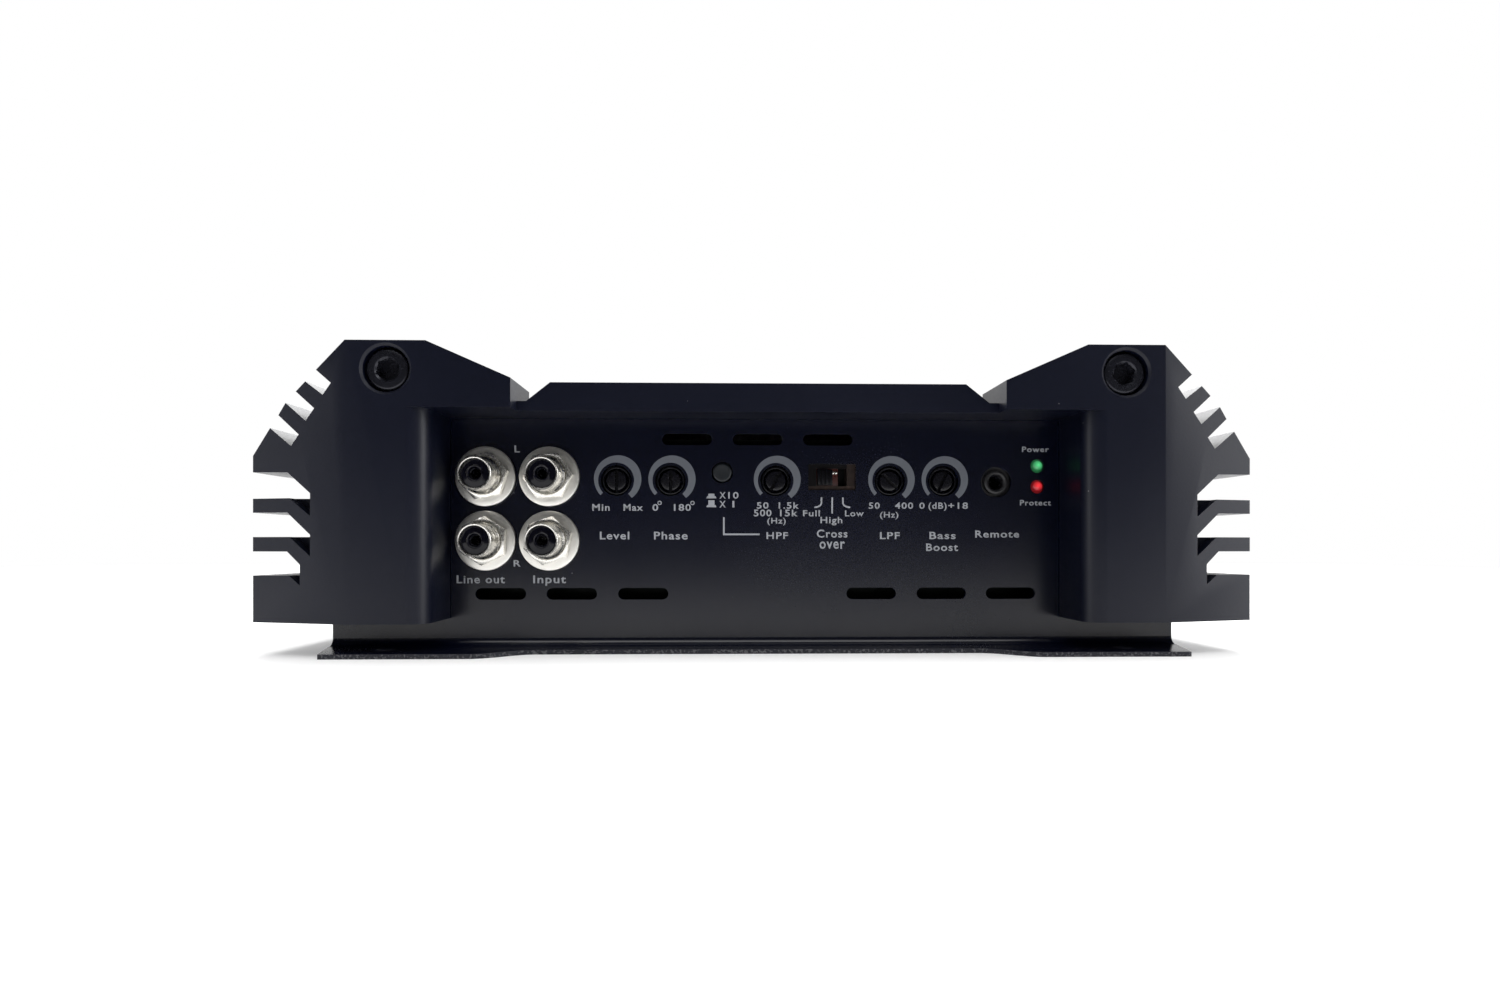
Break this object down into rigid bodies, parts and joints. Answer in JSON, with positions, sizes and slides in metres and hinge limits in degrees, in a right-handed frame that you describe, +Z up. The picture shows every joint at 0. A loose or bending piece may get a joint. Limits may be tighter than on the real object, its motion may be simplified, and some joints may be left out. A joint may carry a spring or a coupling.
{
  "type": "car audio amplifier",
  "caption": "Car audio amplifier: finned black aluminium heatsink on a steel chassis with feet, two raised cast end caps, recessed control panel with phono jacks and dials.",
  "frame": {"origin": "middle of the footprint, on the surface that the feet stand on", "axes": "+Z up; the control panel faces -Y and the wire terminals +Y, along the length; +X is to the right of someone facing the controls"},
  "size_m": [0.246, 0.3, 0.0753],
  "materials": {
    "anodised_heatsink": "satin black anodised aluminium extrusion",
    "cap_paint": "die-cast aluminium in satin blue-black paint",
    "top_plate_paint": "aluminium sheet in satin blue-black paint",
    "coated_steel": "black powder-coated steel sheet with grey printed legends",
    "black_screw": "black oxide steel",
    "nickel_plate": "bright nickel plate on brass",
    "black_insulator": "black moulded insulator",
    "black_plastic": "black moulded plastic",
    "dial_plastic": "black moulded plastic, slotted",
    "button_plastic": "dark grey moulded plastic",
    "knob_plastic": "black ribbed plastic",
    "switch_steel": "zinc-plated steel",
    "green_lens": "green tinted lens",
    "red_lens": "red tinted lens",
    "circuit_board": "green solder mask",
    "copper_winding": "enamelled copper wire on a ferrite ring",
    "capacitor_sleeve": "dark blue shrink sleeve",
    "transistor_plastic": "black epoxy packages on a clamp strip",
    "fuse_plastic": "green translucent plastic"
  },
  "bodies": {
    "chassis": {"heatsink": "anodised_heatsink", "front_end_cap": "cap_paint", "rear_end_cap": "cap_paint", "top_plate": "top_plate_paint", "control_panel": "coated_steel", "terminal_panel": "coated_steel", "bottom_tray": "coated_steel", "front_cap_screw_left": "black_screw", "front_cap_screw_right": "black_screw", "rear_cap_screw_left": "black_screw", "rear_cap_screw_right": "black_screw", "tray_screw_front_left": "black_screw", "tray_screw_front_right": "black_screw", "tray_screw_rear_left": "black_screw", "tray_screw_rear_right": "black_screw", "rca_line_out_left_shell": "nickel_plate", "rca_line_out_left_nut": "nickel_plate", "rca_line_out_left_washer": "nickel_plate", "rca_line_out_right_shell": "nickel_plate", "rca_line_out_right_nut": "nickel_plate", "rca_line_out_right_washer": "nickel_plate", "rca_input_left_shell": "nickel_plate", "rca_input_left_nut": "nickel_plate", "rca_input_left_washer": "nickel_plate", "rca_input_right_shell": "nickel_plate", "rca_input_right_nut": "nickel_plate", "rca_input_right_washer": "nickel_plate", "rca_line_out_left_insulator": "black_insulator", "rca_line_out_right_insulator": "black_insulator", "rca_input_left_insulator": "black_insulator", "rca_input_right_insulator": "black_insulator", "level_pot_body": "black_plastic", "phase_pot_body": "black_plastic", "hpf_pot_body": "black_plastic", "lpf_pot_body": "black_plastic", "bass_boost_pot_body": "black_plastic", "push_switch_body": "black_plastic", "remote_jack": "black_plastic", "speaker_terminal_block": "black_plastic", "power_terminal_block": "black_plastic", "slide_switch_frame": "switch_steel", "power_led": "green_lens", "protect_led": "red_lens", "main_board": "circuit_board", "control_board": "circuit_board", "power_transformer": "copper_winding", "output_choke": "copper_winding", "smoothing_capacitor_1": "capacitor_sleeve", "smoothing_capacitor_2": "capacitor_sleeve", "left_transistor_row": "transistor_plastic", "right_transistor_row": "transistor_plastic", "blade_fuse": "fuse_plastic"},
    "level_dial": {"level_pot_shaft": "dial_plastic"},
    "phase_dial": {"phase_pot_shaft": "dial_plastic"},
    "hpf_dial": {"hpf_pot_shaft": "dial_plastic"},
    "lpf_dial": {"lpf_pot_shaft": "dial_plastic"},
    "bass_boost_dial": {"bass_boost_pot_shaft": "dial_plastic"},
    "range_button": {"push_button": "button_plastic"},
    "crossover_knob": {"slide_switch_knob": "knob_plastic"}
  },
  "joints": [
    {"name": "level_turn", "type": "hinge", "parent": "chassis", "child": "level_dial", "pos_m": [-0.0366, -0.1315, 0.0437], "axis": [0, 1, 0], "range_deg": [-135, 135]},
    {"name": "phase_turn", "type": "hinge", "parent": "chassis", "child": "phase_dial", "pos_m": [-0.0226, -0.1315, 0.0437], "axis": [0, 1, 0], "range_deg": [-135, 135]},
    {"name": "hpf_turn", "type": "hinge", "parent": "chassis", "child": "hpf_dial", "pos_m": [0.0047, -0.1315, 0.0437], "axis": [0, 1, 0], "range_deg": [-163, 107]},
    {"name": "lpf_turn", "type": "hinge", "parent": "chassis", "child": "lpf_dial", "pos_m": [0.0345, -0.1315, 0.0437], "axis": [0, 1, 0], "range_deg": [-90, 180]},
    {"name": "bass_boost_turn", "type": "hinge", "parent": "chassis", "child": "bass_boost_dial", "pos_m": [0.0485, -0.1315, 0.0437], "axis": [0, 1, 0], "range_deg": [-160, 110]},
    {"name": "button_press", "type": "slide", "parent": "chassis", "child": "range_button", "axis": [0, 1, 0], "range_m": [0, 0.0015], "stiffness_N_per_m": 150},
    {"name": "crossover_slide", "type": "slide", "parent": "chassis", "child": "crossover_knob", "axis": [1, 0, 0], "range_m": [0, 0.0036]}
  ]
}
